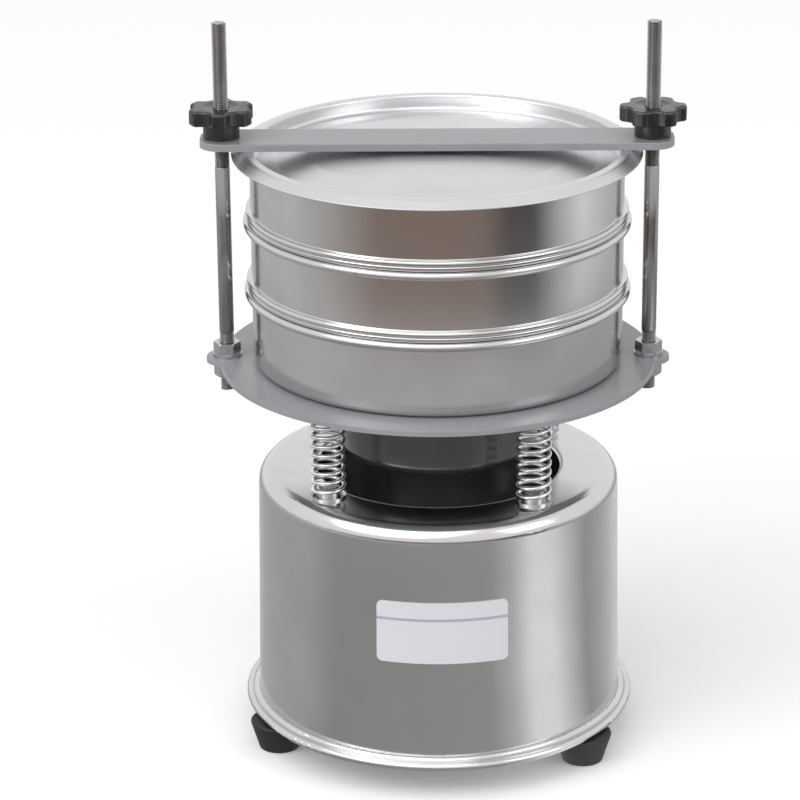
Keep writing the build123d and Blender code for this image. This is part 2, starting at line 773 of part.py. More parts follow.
def nodes():
    """Every sub-part by its node's name."""
    left, right = -1, 1
    parts = {
        "base_drum": base_drum(),
        "bottom_cover": bottom_cover(),
        "foot_screws": placed(foot_screw(), foot_circle, foot_angles()),
        "label_plate": label_plate(),
        "cable_gland": cable_gland(),
        "gland_locknut": gland_locknut(),
        "switch_housing": switch_housing(),
        "switch_rocker": switch_rocker(),
        "capacitor": capacitor(),
        "capacitor_clip": capacitor_clip(),
        "terminal_block": terminal_block(),
        "lower_spring_seats": lower_spring_seats(),
        "upper_spring_seats": upper_spring_seats(),
        "lower_seat_screws": lower_seat_screws(),
        "upper_seat_screws": upper_seat_screws(),
        "platform_plate": platform_plate(),
        "motor_housing": motor_housing(),
        "motor_shield": motor_shield(),
        "motor_screws": motor_screws(),
        "motor_stator": motor_stator(),
        "lower_bearing": bearing(motor_bottom + motor_floor),
        "upper_bearing": bearing(plate_bottom - bearing_width),
        "motor_shaft": motor_shaft(),
        "rotor_core": rotor_core(),
        "lower_weight": lower_weight(),
        "upper_weight": upper_weight(),
        "left_rod": clamp_rod(left),
        "right_rod": clamp_rod(right),
        "upper_rod_nuts": upper_rod_nuts(),
        "lower_rod_nuts": lower_rod_nuts(),
        "rod_washers": rod_washers(),
        "receiver_pan": receiver_pan(),
        "lid": lid(),
        "crossbar": crossbar(),
        "left_knob": star_knob(left, left_knob_turn),
        "right_knob": star_knob(right, right_knob_turn),
        "left_knob_insert": knob_insert(left),
        "right_knob_insert": knob_insert(right),
    }
    for name, foot in zip(("left", "right", "rear"), placed(rubber_foot(), foot_circle, foot_angles())):
        parts[f"foot_{name}"] = foot
    for name, angle in zip(("front_left", "front_right", "rear_right", "rear_left"), spring_angles()):
        parts[f"spring_{name}"] = coil_spring(angle)
    for number, seat in ((2, pan_seat), (1, sieve_2_seat)):
        parts[f"sieve_{number}_frame"] = sieve_frame(seat)
        parts[f"sieve_{number}_mesh"] = sieve_mesh(seat)
        parts[f"sieve_{number}_clamp_ring"] = mesh_clamp_ring(seat)
    return parts


os.makedirs("parts", exist_ok=True)
for node_name, shape in nodes().items():
    solids = shape if isinstance(shape, list) else [shape]
    whole = Compound([solid for piece in solids for solid in piece.solids()])
    whole.label = node_name
    export_step(whole, f"parts/{node_name}.step")
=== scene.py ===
# %% [markdown]
# # A sieve shaker
# A drum-shaped base carries a round platform on four coil springs. A motor with off-centre weights hangs
# under the platform and shakes a nested stack of round sieves, a pan and a lid, which a crossbar with two
# knobs clamps down on threaded rods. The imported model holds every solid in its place, so this script loads
# it first, gives each surface its finish, and then models what the solids keep plain: the springs' wire, the
# rods' threads, the rolled sheet of the stack, the feet and the label.

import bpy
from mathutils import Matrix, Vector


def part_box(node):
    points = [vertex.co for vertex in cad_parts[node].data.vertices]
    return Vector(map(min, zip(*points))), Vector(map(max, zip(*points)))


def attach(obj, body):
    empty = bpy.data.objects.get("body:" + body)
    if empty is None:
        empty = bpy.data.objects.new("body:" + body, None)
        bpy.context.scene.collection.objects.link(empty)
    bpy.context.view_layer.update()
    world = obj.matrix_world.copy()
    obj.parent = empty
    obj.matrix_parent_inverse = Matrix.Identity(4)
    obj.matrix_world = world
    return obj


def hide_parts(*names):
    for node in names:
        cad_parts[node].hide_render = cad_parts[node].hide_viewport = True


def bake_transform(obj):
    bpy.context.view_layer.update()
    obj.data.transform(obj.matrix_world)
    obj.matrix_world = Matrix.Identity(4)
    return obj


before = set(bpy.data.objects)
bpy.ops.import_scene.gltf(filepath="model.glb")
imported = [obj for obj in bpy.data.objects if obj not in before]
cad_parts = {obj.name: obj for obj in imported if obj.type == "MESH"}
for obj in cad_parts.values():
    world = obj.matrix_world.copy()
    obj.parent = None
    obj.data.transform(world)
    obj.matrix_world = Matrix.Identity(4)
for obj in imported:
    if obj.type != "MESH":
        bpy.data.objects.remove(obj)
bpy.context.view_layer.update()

# %% [markdown]
# ## Units
# Blender measures in metres and a drawing in millimetres, so the sizes of the object are written below in
# millimetres and multiplied by one factor.

# %% Tools used all through
from math import cos, pi, radians, sin, tan

import bpy
from mathutils import Matrix, Vector

MM = 0.001


# %% [markdown]
# ## The camera
# A catalogue picture like this is taken from far away with a long lens, so the rims of the stack stay nearly
# parallel. The lens, the height and the small tilt here make the ellipses of the lid, the rims, the plate and
# the brim as wide and as tall as they are in the picture. The aim lies on the plane of the rods.

# %% Set the camera
LENS = 148.14
SENSOR_WIDTH = 36
CAMERA_PLACE = Vector((0, -1703.9, 825.3)) * MM
CAMERA_AIM = Vector((-20.9, 0, 191.2)) * MM
CAMERA_ROLL = radians(-0.446)

camera_data = bpy.data.cameras.new("camera")
camera_data.lens = LENS
camera_data.sensor_width = SENSOR_WIDTH
camera = bpy.data.objects.new("camera", camera_data)
bpy.context.scene.collection.objects.link(camera)
level = (CAMERA_AIM - CAMERA_PLACE).to_track_quat("-Z", "Y").to_matrix()
camera.location = CAMERA_PLACE
camera.rotation_euler = (level @ Matrix.Rotation(CAMERA_ROLL, 3, "Z")).to_euler()
bpy.context.scene.camera = camera
bpy.context.scene.view_settings.view_transform = "Standard"
print("camera", LENS, "mm,", round((CAMERA_AIM - CAMERA_PLACE).length, 3), "m away")


# %% [markdown]
# ## Colours and nodes
# Colours are picked as sRGB hex codes, as on a screen, while the shaders want linear light, so one function
# turns them. Every material is a small graph of nodes, and one more function adds a node with its settings,
# its fixed values and its links, so that each finish below reads as a recipe.

# %% Helpers for materials
def hex_colour(code):
    channels = [int(code[i:i + 2], 16) / 255 for i in (1, 3, 5)]
    linear = [c / 12.92 if c <= 0.04045 else ((c + 0.055) / 1.055) ** 2.4 for c in channels]
    return (*linear, 1)


def add_node(tree, kind, values=None, links=None, **settings):
    node = tree.nodes.new(kind)
    for name, value in settings.items():
        setattr(node, name, value)
    for socket, value in (values or {}).items():
        node.inputs[socket].default_value = value
    for socket, source in (links or {}).items():
        tree.links.new(source, node.inputs[socket])
    return node


def new_finish(name, **values):
    """A material with one Principled shader, whose even values are set on its own sockets."""
    material = bpy.data.materials.new(name)
    material.use_nodes = True
    tree = material.node_tree
    tree.nodes.clear()
    sockets = {socket.replace("_", " "): value for socket, value in values.items()}
    shader = add_node(tree, "ShaderNodeBsdfPrincipled", values=sockets)
    add_node(tree, "ShaderNodeOutputMaterial", links={"Surface": shader.outputs["BSDF"]})
    return material, tree, shader


def object_place(tree):
    return add_node(tree, "ShaderNodeTexCoord").outputs["Object"]


def blend_colours(tree, factor, first, second):
    mix = add_node(tree, "ShaderNodeMix", data_type="RGBA", links={"Factor": factor})
    mix.inputs[6].default_value = hex_colour(first)
    mix.inputs[7].default_value = hex_colour(second)
    return mix.outputs[2]


def spread(tree, value, low, high, first, last):
    """A value from low to high becomes one from first to last."""
    return add_node(tree, "ShaderNodeMapRange", links={"Value": value}, values={
        "From Min": low, "From Max": high, "To Min": first, "To Max": last}).outputs["Result"]


def relief(tree, height, depth, normal=None):
    """A bump of a real depth in millimetres."""
    links = {"Height": height}
    if normal:
        links["Normal"] = normal
    return add_node(tree, "ShaderNodeBump", values={"Distance": depth * MM}, links=links).outputs["Normal"]


print("white is", hex_colour("#ffffff"))

# %% [markdown]
# ## The studio
# The object stands on a pale floor in soft light. A broad, soft sun from the upper left lights the floor
# evenly out to the edge of the picture, two large lamps give the steel its highlights, and the world fills
# in from all round. Polished steel shows what stands round it: to camera and glossy rays the world is plain
# white, and a card on the floor, which only reflections see, glows with painted reflections: tones for the
# darker bench and the room that the walls mirror, with painted highlights and painted shadow among them.

# %% Light the studio
def soft_lamp(name, place, aim, size, power):
    data = bpy.data.lights.new(name, "AREA")
    data.shape = "SQUARE"
    data.size = size
    data.energy = power
    lamp = bpy.data.objects.new(name, data)
    lamp.location = place
    lamp.rotation_euler = (Vector(aim) - Vector(place)).to_track_quat("-Z", "Y").to_euler()
    bpy.context.scene.collection.objects.link(lamp)


STACK_MIDDLE = (0, 0, 0.2)
WINDOW_SIZE = 1.0
soft_lamp("left window", (-1.5, -1.2, 1.5), STACK_MIDDLE, WINDOW_SIZE, 9)
soft_lamp("right window", (1.6, -0.9, 1.2), STACK_MIDDLE, WINDOW_SIZE, 7)

SUN_POWER = 1.35
SUN_WIDTH = radians(70)
SUN_DIRECTION = Vector((0.4, 0.6, -1))
sun_data = bpy.data.lights.new("soft sun", "SUN")
sun_data.energy = SUN_POWER
sun_data.angle = SUN_WIDTH
sun = bpy.data.objects.new("soft sun", sun_data)
sun.rotation_euler = SUN_DIRECTION.to_track_quat("-Z", "Y").to_euler()
bpy.context.scene.collection.objects.link(sun)

world = bpy.data.worlds.new("studio")
bpy.context.scene.world = world
world.use_nodes = True
world.node_tree.nodes.clear()
SOFT_FILL = 0.55


def seen_directly(tree):
    """1 for the rays that show a background to the camera, straight or in metal and glass."""
    path = add_node(tree, "ShaderNodeLightPath")
    mirrored = add_node(tree, "ShaderNodeMath", operation="MAXIMUM", links={
        0: path.outputs["Is Camera Ray"], 1: path.outputs["Is Glossy Ray"]})
    return add_node(tree, "ShaderNodeMath", operation="MAXIMUM", links={
        0: mirrored.outputs[0], 1: path.outputs["Is Transmission Ray"]}).outputs[0]


strength = spread(world.node_tree, seen_directly(world.node_tree), 0, 1, SOFT_FILL, 1)
background = add_node(world.node_tree, "ShaderNodeBackground", links={"Strength": strength},
                      values={"Color": hex_colour("#ffffff")})
add_node(world.node_tree, "ShaderNodeOutputWorld", links={"Surface": background.outputs[0]})

# %% [markdown]
# ## The floor and the card
# The floor is matt white paper with a faint glow, so its far edge melts into the white world. The card lies
# on it and shows only in reflections. It glows with tones of its own, which are painted reflections: they
# change round the object and with the distance from it, as a bench and a room would, and hold painted
# highlights and painted dark bands for the walls, with a darker near ring painted as the machine's shadow.

# %% Lay the floor and the card
FLOOR_SIZE = 14
PAPER_GLOW = 0.12
CARD_RADIUS = 2.4
CARD_LIFT = 0.3

bpy.ops.object.select_all(action="DESELECT")
bpy.ops.mesh.primitive_plane_add(size=FLOOR_SIZE)
floor = bpy.context.object
floor.name = "floor"
paper = bpy.data.materials.new("matt white paper")
paper.use_nodes = True
paper.node_tree.nodes.clear()
matt = add_node(paper.node_tree, "ShaderNodeBsdfDiffuse", values={"Color": hex_colour("#f4f4f4")})
glow = add_node(paper.node_tree, "ShaderNodeEmission", values={"Color": hex_colour("#ffffff")}, links={
    "Strength": spread(paper.node_tree, seen_directly(paper.node_tree), 0, 1, 0, PAPER_GLOW)})
paper_face = add_node(paper.node_tree, "ShaderNodeAddShader", links={0: matt.outputs[0], 1: glow.outputs[0]})
add_node(paper.node_tree, "ShaderNodeOutputMaterial", links={"Surface": paper_face.outputs[0]})
floor.data.materials.append(paper)

bpy.ops.mesh.primitive_circle_add(vertices=64, radius=CARD_RADIUS, fill_type="NGON",
                                  location=(0, 0, CARD_LIFT * MM))
card = bpy.context.object
card.name = "card"
card.visible_camera = False
card.visible_diffuse = False
card.visible_shadow = False
card.visible_transmission = False
painted_reflection_finish = bpy.data.materials.new("painted reflections card")
painted_reflection_finish.use_nodes = True
card_tree = painted_reflection_finish.node_tree
card_tree.nodes.clear()


def tone_ring(tree, turn, tones):
    """Tones round the object, each at its share of a turn that starts at the back."""
    ramp = add_node(tree, "ShaderNodeValToRGB", links={"Fac": turn})
    while len(ramp.color_ramp.elements) < len(tones):
        ramp.color_ramp.elements.new(0.5)
    for stop, (position, tone) in zip(ramp.color_ramp.elements, tones):
        stop.position = position
        stop.color = hex_colour(tone)
    return ramp.outputs["Color"]


# These tones are painted reflections. The drum mirrors the near ring, a little darker as painted
# shadow of the machine, with a white band painted as its highlight. The pan mirrors a plain stretch further
# out, and the sieves mirror the far ring, with a brown band and a dark band painted in. Each list goes round
# from the back by the left side, the front and the right side to the back again.
NEAR_PAINTED_REFLECTION = [(0.0, "#d0d0d0"), (0.08, "#bcbcbc"), (0.25, "#b4b4b4"), (0.31, "#9e9e9e"), (0.59, "#a4a4a4"),
              (0.635, "#cccccc"), (0.67, "#ffffff"), (0.715, "#ffffff"), (0.75, "#dcdcdc"), (0.80, "#a6a6a6"),
              (0.93, "#dedede"), (1.0, "#d0d0d0")]
PLAIN_PAINTED_REFLECTION = [(0.0, "#b8b8b8"), (0.3, "#c8c8c8"), (0.6, "#c0c0c1"), (0.8, "#b0b0b0"), (1.0, "#b8b8b8")]
FAR_PAINTED_REFLECTION = [(0.0, "#c4c4c4"), (0.22, "#d2d2d2"), (0.32, "#b4b0ae"), (0.40, "#907d74"), (0.575, "#8e7c74"),
             (0.625, "#565250"), (0.672, "#585554"), (0.725, "#c8c8c8"), (0.775, "#f4f4f4"),
             (0.87, "#c8c8c8"), (1.0, "#c4c4c4")]
# One stretch fades into the next between these distances from the axis, in metres.
NEAR_ENDS = (0.5, 0.62)
FAR_STARTS = (0.82, 0.90)
card_place = object_place(card_tree)
from_back = add_node(card_tree, "ShaderNodeMapping", values={"Rotation": (0, 0, pi / 2)},
                     links={"Vector": card_place}).outputs["Vector"]
turn = add_node(card_tree, "ShaderNodeTexGradient", gradient_type="RADIAL",
                links={"Vector": from_back}).outputs["Fac"]
reach = add_node(card_tree, "ShaderNodeVectorMath", operation="LENGTH",
                 links={0: card_place}).outputs["Value"]

# The walls stand 0.1 m off the axis, so what they mirror in one direction lies nearer the front, and the more
# so the closer it is. The tones are turned back by that much, which keeps the bands upright on the walls.
WALL_LEVER = 0.0191
side = add_node(card_tree, "ShaderNodeMath", operation="SINE",
                links={0: spread(card_tree, turn, 0, 1, -pi / 2, pi / 2)}).outputs[0]
lag = add_node(card_tree, "ShaderNodeMath", operation="DIVIDE", links={0: side, 1: reach}).outputs[0]
turn = add_node(card_tree, "ShaderNodeMath", operation="MULTIPLY_ADD", values={1: WALL_LEVER},
                links={0: lag, 2: turn}).outputs[0]
near_to_plain = add_node(card_tree, "ShaderNodeMix", data_type="RGBA", links={
    "Factor": spread(card_tree, reach, *NEAR_ENDS, 0, 1), 6: tone_ring(card_tree, turn, NEAR_PAINTED_REFLECTION),
    7: tone_ring(card_tree, turn, PLAIN_PAINTED_REFLECTION)}).outputs[2]
# The card's colour, blended from the three rings, is painted reflection: it glows for glossy rays only and is
# no lamp.
painted_reflections = add_node(card_tree, "ShaderNodeMix", data_type="RGBA", links={
    "Factor": spread(card_tree, reach, *FAR_STARTS, 0, 1), 6: near_to_plain,
    7: tone_ring(card_tree, turn, FAR_PAINTED_REFLECTION)}).outputs[2]
painted_reflection_glow = add_node(card_tree, "ShaderNodeEmission", links={"Color": painted_reflections})
add_node(card_tree, "ShaderNodeOutputMaterial", links={"Surface": painted_reflection_glow.outputs[0]})
card.data.materials.append(painted_reflection_finish)
print("stage:", floor.name, card.name)


# %% [markdown]
# ## Steel that was spun and brushed
# The sieve frames, the pan and the drum are stainless steel sheet, shaped over a turning former and brushed
# while they turn. The brushing leaves fine lines all round, which draw a highlight out up and down the wall.
# A one-dimensional noise along the profile gives the lines, so they follow walls, rims and flat faces alike,
# and the anisotropy with a tangent round the axis gives the drawn-out gloss. Real lines are about 0.05 mm
# apart, too fine for the picture, so they are drawn about eight times as coarse.

# %% Stainless steel
BRUSH_SPACING = 0.4


def along_profile(tree, place):
    """The distance from the axis plus the height, which is the same all round the stack."""
    flat = add_node(tree, "ShaderNodeVectorMath", operation="MULTIPLY",
                    links={0: place}, values={1: (1, 1, 0)})
    radius = add_node(tree, "ShaderNodeVectorMath", operation="LENGTH", links={0: flat.outputs[0]})
    height = add_node(tree, "ShaderNodeSeparateXYZ", links={"Vector": place})
    return add_node(tree, "ShaderNodeMath", operation="ADD", links={
        0: radius.outputs["Value"], 1: height.outputs["Z"]}).outputs[0]


def spun_steel(name, dark, light, roughness, line_depth, drawn_out):
    """Stainless steel, brushed round the axis, with faint clouds where hands and wear dulled it."""
    material, tree, shader = new_finish(name, Metallic=1.0, Anisotropic=drawn_out)
    place = object_place(tree)
    lines = add_node(tree, "ShaderNodeTexNoise", noise_dimensions="1D",
                     links={"W": along_profile(tree, place)},
                     values={"Scale": 1 / (BRUSH_SPACING * MM), "Detail": 3.0, "Roughness": 0.6})
    clouds = add_node(tree, "ShaderNodeTexNoise", links={"Vector": place},
                      values={"Scale": 26.0, "Detail": 4.0, "Roughness": 0.55})
    tone = blend_colours(tree, spread(tree, clouds.outputs["Fac"], 0.3, 0.7, 0, 1), dark, light)
    gloss = add_node(tree, "ShaderNodeMath", operation="ADD", links={
        0: spread(tree, lines.outputs["Fac"], 0.25, 0.75, -0.04, 0.04),
        1: spread(tree, clouds.outputs["Fac"], 0.3, 0.7, roughness + 0.03, roughness - 0.03)})
    tree.links.new(tone, shader.inputs["Base Color"])
    tree.links.new(gloss.outputs[0], shader.inputs["Roughness"])
    tree.links.new(relief(tree, lines.outputs["Fac"], line_depth), shader.inputs["Normal"])
    round_axis = add_node(tree, "ShaderNodeTangent", direction_type="RADIAL", axis="Z")
    tree.links.new(round_axis.outputs["Tangent"], shader.inputs["Tangent"])
    return material


sieve_steel = spun_steel("brushed stainless steel", "#cac9c8", "#d2d1d0", 0.15, 0.0015, 0.35)
lid_steel = spun_steel("polished stainless steel", "#cfcfd1", "#d6d6d8", 0.30, 0.001, 0.3)
drum_steel = spun_steel("satin stainless steel", "#cccbca", "#d4d3d2", 0.16, 0.0015, 0.35)
print("steels:", sieve_steel.name, "/", lid_steel.name, "/", drum_steel.name)

# %% [markdown]
# ## Zinc, chrome, brass and aluminium
# Screws, nuts, bearings and spring seats are zinc-plated steel, whose crystals give the grey a faint
# mottling. The rods are bright drawn steel, and the springs are chrome-plated wire, nearly a mirror. The
# knobs' threaded inserts are turned brass, the capacitor is a drawn aluminium can, and the cover is
# galvanised sheet with larger, softer spangles. A cell noise gives crystals and spangles, and plain noise
# gives the handling marks.

# %% Plated and plain metals
CRYSTAL_DEPTH = 0.002


def crystal_metal(name, dark, light, crystal_size, roughness, contrast):
    material, tree, shader = new_finish(name, Metallic=1.0)
    place = object_place(tree)
    crystals = add_node(tree, "ShaderNodeTexVoronoi", links={"Vector": place},
                        values={"Scale": 1 / (crystal_size * MM)})
    grey = add_node(tree, "ShaderNodeRGBToBW", links={"Color": crystals.outputs["Color"]})
    tree.links.new(blend_colours(tree, grey.outputs[0], dark, light), shader.inputs["Base Color"])
    tree.links.new(spread(tree, grey.outputs[0], 0, 1, roughness - contrast, roughness + contrast),
                   shader.inputs["Roughness"])
    tree.links.new(relief(tree, grey.outputs[0], CRYSTAL_DEPTH), shader.inputs["Normal"])
    return material


zinc = crystal_metal("bright zinc plating", "#b6b7b9", "#bfc0c2", 0.7, 0.2, 0.02)
galvanised = crystal_metal("galvanised sheet", "#9fa2a4", "#b8babc", 5.0, 0.38, 0.08)
can_aluminium = crystal_metal("drawn aluminium", "#cfd0d1", "#d8d9da", 1.5, 0.3, 0.03)
core_iron = crystal_metal("oiled electrical steel", "#5b5856", "#6a6663", 2.0, 0.42, 0.06)


def smooth_metal(name, dark, light, roughness, mark_size):
    material, tree, shader = new_finish(name, Metallic=1.0)
    marks = add_node(tree, "ShaderNodeTexNoise", links={"Vector": object_place(tree)},
                     values={"Scale": 1 / (mark_size * MM), "Detail": 5.0})
    share = spread(tree, marks.outputs["Fac"], 0.3, 0.7, 0, 1)
    tree.links.new(blend_colours(tree, share, dark, light), shader.inputs["Base Color"])
    tree.links.new(spread(tree, share, 0, 1, roughness * 0.7, roughness * 1.3), shader.inputs["Roughness"])
    return material


rod_steel = smooth_metal("bright drawn steel", "#9a9896", "#9f9d9b", 0.2, 14.0)
chrome = smooth_metal("chrome-plated spring wire", "#dcdddf", "#ececed", 0.08, 6.0)
brass = smooth_metal("turned brass", "#c9a45c", "#d8b56c", 0.25, 2.0)
print("metals:", zinc.name, "/", galvanised.name, "/", chrome.name, "/", brass.name)

# %% [markdown]
# ## Powder coat and paint
# The platform and the crossbar carry a cool grey powder coat, which melts into a hard skin with a fine
# orange peel about 1.5 mm from crest to crest. The motor is dark grey, sprayed, with a finer peel. Both are
# plastics as far as light goes, so they keep an IOR near 1.5, and noise bends the gloss on their faces.

# %% Coated steel
def coated(name, dark, light, roughness, peel_size, peel_depth, clear_coat):
    material, tree, shader = new_finish(name, IOR=1.5, Coat_Weight=clear_coat, Coat_Roughness=0.12)
    place = object_place(tree)
    peel = add_node(tree, "ShaderNodeTexNoise", links={"Vector": place},
                    values={"Scale": 1 / (peel_size * MM), "Detail": 1.0})
    clouds = add_node(tree, "ShaderNodeTexNoise", links={"Vector": place},
                      values={"Scale": 30.0, "Detail": 3.0})
    share = spread(tree, clouds.outputs["Fac"], 0.3, 0.7, 0, 1)
    tree.links.new(blend_colours(tree, share, dark, light), shader.inputs["Base Color"])
    tree.links.new(spread(tree, share, 0, 1, roughness - 0.04, roughness + 0.04), shader.inputs["Roughness"])
    tree.links.new(relief(tree, peel.outputs["Fac"], peel_depth), shader.inputs["Normal"])
    return material


platform_coat = coated("cool grey powder coat", "#87878c", "#8f8f94", 0.36, 1.5, 0.012, 0.15)
motor_paint = coated("dark grey motor paint", "#39393b", "#414143", 0.3, 0.9, 0.004, 0.5)
print("coats:", platform_coat.name, "/", motor_paint.name)

# %% [markdown]
# ## Black mouldings and rubber
# The knobs are moulded from a black thermoset: hard, dense and a little glossy where hands polish the lobes.
# The gland and the switch are black nylon with a finer, duller skin. The feet are rubber, which scatters
# nearly all its gloss and holds a film of dust. The three differ in roughness and in the grain of the mould.

# %% Mouldings, rubber and label film
def moulded(name, dark, light, roughness, grain_size, grain_depth, refraction=1.5):
    material, tree, shader = new_finish(name, IOR=refraction)
    place = object_place(tree)
    grain = add_node(tree, "ShaderNodeTexNoise", links={"Vector": place},
                     values={"Scale": 1 / (grain_size * MM), "Detail": 2.0})
    handled = add_node(tree, "ShaderNodeTexNoise", links={"Vector": place},
                       values={"Scale": 60.0, "Detail": 3.0})
    share = spread(tree, handled.outputs["Fac"], 0.35, 0.65, 0, 1)
    tree.links.new(blend_colours(tree, share, dark, light), shader.inputs["Base Color"])
    tree.links.new(spread(tree, share, 0, 1, roughness - 0.05, roughness + 0.05), shader.inputs["Roughness"])
    tree.links.new(relief(tree, grain.outputs["Fac"], grain_depth), shader.inputs["Normal"])
    return material


knob_black = moulded("black thermoset", "#0f0f10", "#151516", 0.28, 0.8, 0.012, 1.6)
nylon_black = moulded("black nylon", "#18181a", "#202022", 0.45, 0.4, 0.01, 1.53)
switch_black = moulded("glossy black nylon", "#101012", "#151517", 0.2, 0.8, 0.004, 1.53)
foot_rubber = moulded("black rubber", "#141415", "#1f1f20", 0.62, 0.6, 0.02, 1.52)
natural_nylon = moulded("natural nylon", "#dedbd0", "#e8e5da", 0.42, 0.5, 0.01, 1.53)
print("mouldings:", knob_black.name, "/", nylon_black.name, "/", foot_rubber.name)

# %% [markdown]
# ## The label's film
# The label is a bare plate under a thin satin film. A single printed rule crosses it near its top. The rule
# is part of the film, so it is drawn in the material by height above the floor, and the rest stays empty.

# %% The bare label
RULE_HEIGHT = 103.0
RULE_WIDTH = 1.6
RULE_BLUR = 0.1

label_film, label_tree, label_shader = new_finish(
    "satin label film", IOR=1.49, Roughness=0.35, Coat_Weight=0.2)
label_height = add_node(label_tree, "ShaderNodeSeparateXYZ", links={"Vector": object_place(label_tree)})
off_rule = add_node(label_tree, "ShaderNodeMath", operation="SUBTRACT", values={1: RULE_HEIGHT * MM},
                    links={0: label_height.outputs["Z"]})
distance = add_node(label_tree, "ShaderNodeMath", operation="ABSOLUTE", links={0: off_rule.outputs[0]})
on_rule = spread(label_tree, distance.outputs[0], (RULE_WIDTH / 2 - RULE_BLUR) * MM,
                 (RULE_WIDTH / 2 + RULE_BLUR) * MM, 1, 0)
label_grain = add_node(label_tree, "ShaderNodeTexNoise", links={"Vector": object_place(label_tree)},
                       values={"Scale": 900.0, "Detail": 2.0})
label_tree.links.new(blend_colours(label_tree, on_rule, "#cfcfd5", "#a3a6b3"),
                     label_shader.inputs["Base Color"])
label_tree.links.new(relief(label_tree, label_grain.outputs["Fac"], 0.004), label_shader.inputs["Normal"])
print("label:", label_film.name)


# %% [markdown]
# ## Giving each solid its finish
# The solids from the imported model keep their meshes. Each gets its finish in its material slots, and a name
# missing here would show at once as plain grey, so the last line prints what is left over.

# %% Finish the solids
FINISHES = {
    sieve_steel: ["sieve_1_frame", "sieve_1_clamp_ring", "sieve_2_frame", "sieve_2_clamp_ring",
                  "receiver_pan"],
    lid_steel: ["lid"],
    drum_steel: ["base_drum"],
    galvanised: ["bottom_cover"],
    zinc: ["foot_screws", "lower_spring_seats", "upper_spring_seats", "lower_seat_screws",
           "upper_seat_screws", "motor_screws", "upper_rod_nuts", "lower_rod_nuts", "rod_washers",
           "lower_bearing", "upper_bearing", "motor_shaft", "capacitor_clip", "left_rod", "right_rod",
           "sieve_1_mesh", "sieve_2_mesh"],
    chrome: ["spring_front_left", "spring_front_right", "spring_rear_left", "spring_rear_right"],
    brass: ["left_knob_insert", "right_knob_insert"],
    can_aluminium: ["capacitor"],
    core_iron: ["motor_stator", "rotor_core", "lower_weight", "upper_weight"],
    platform_coat: ["platform_plate", "crossbar"],
    motor_paint: ["motor_housing", "motor_shield"],
    knob_black: ["left_knob", "right_knob"],
    nylon_black: ["cable_gland", "gland_locknut"],
    switch_black: ["switch_housing", "switch_rocker"],
    foot_rubber: ["foot_left", "foot_right", "foot_rear"],
    natural_nylon: ["terminal_block"],
    label_film: ["label_plate"],
}
finished = set()
for finish, names in FINISHES.items():
    for name in names:
        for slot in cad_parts[name].material_slots:
            slot.material = finish
        finished.add(name)
print("finished:", len(finished), "left over:", sorted(set(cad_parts) - finished))


# %% [markdown]
# ## Shaping by hand
# The new pieces start from a primitive and are shaped in edit mode. Three habits help: everything is
# deselected before a primitive is added, a profile is drawn by pulling one vertex along, and a piece's
# place is applied to its mesh at the end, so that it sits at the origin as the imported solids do.

# %% Helpers for shaping
# Two vertices nearer to each other than this are one.
CLOSE = 0.01 * MM


def start_piece(name, add, **where):
    bpy.ops.object.select_all(action="DESELECT")
    add(**where)
    piece = bpy.context.object
    piece.name = name
    piece.data.name = name
    return piece


def edit():
    bpy.ops.object.mode_set(mode="EDIT")
    bpy.ops.mesh.select_all(action="SELECT")


def leave_edit():
    bpy.ops.object.mode_set(mode="OBJECT")


def drawn_profile(name, points):
    """A line through points, pulled out of one vertex."""
    piece = start_piece(name, bpy.ops.mesh.primitive_plane_add, size=MM)
    edit()
    bpy.ops.mesh.merge(type="CENTER")
    bpy.ops.transform.translate(value=points[0])
    for start, end in zip(points, points[1:]):
        bpy.ops.mesh.extrude_region_move(TRANSFORM_OT_translate={"value": end - start})
    leave_edit()
    return piece


def screwed(piece, rise, turns, steps):
    """Winds the piece's profile round the Z axis, with a rise for each turn."""
    screw = piece.modifiers.new("winding", "SCREW")
    screw.angle = 2 * pi
    screw.screw_offset = rise
    screw.iterations = turns
    screw.steps = steps
    screw.render_steps = steps
    screw.use_merge_vertices = True
    screw.merge_threshold = CLOSE
    bpy.ops.object.modifier_apply(modifier=screw.name)


def weld():
    """Joins the doubled vertices of the piece in edit mode and turns its faces outward."""
    bpy.ops.mesh.remove_doubles(threshold=CLOSE)
    bpy.ops.mesh.normals_make_consistent(inside=False)


def cut_flat(low, high):
    """Cuts the piece in edit mode at two heights and closes the cuts."""
    bpy.ops.mesh.bisect(plane_co=(0, 0, low), plane_no=(0, 0, 1), use_fill=True, clear_inner=True)
    bpy.ops.mesh.select_all(action="SELECT")
    bpy.ops.mesh.bisect(plane_co=(0, 0, high), plane_no=(0, 0, 1), use_fill=True, clear_outer=True)


def set_down(piece, place):
    """Moves the piece to its place and applies that to its mesh."""
    piece.location = place
    bpy.ops.object.transform_apply(location=True, rotation=True, scale=True)


def dress(piece, finish, smooth_below=35):
    piece.data.materials.clear()
    piece.data.materials.append(finish)
    bpy.ops.object.shade_smooth_by_angle(angle=radians(smooth_below))
    print(piece.name, len(piece.data.polygons), "faces")


ARC_STEPS = 6
LONG_SIDE = 1.0
FLAT_END = 0.2


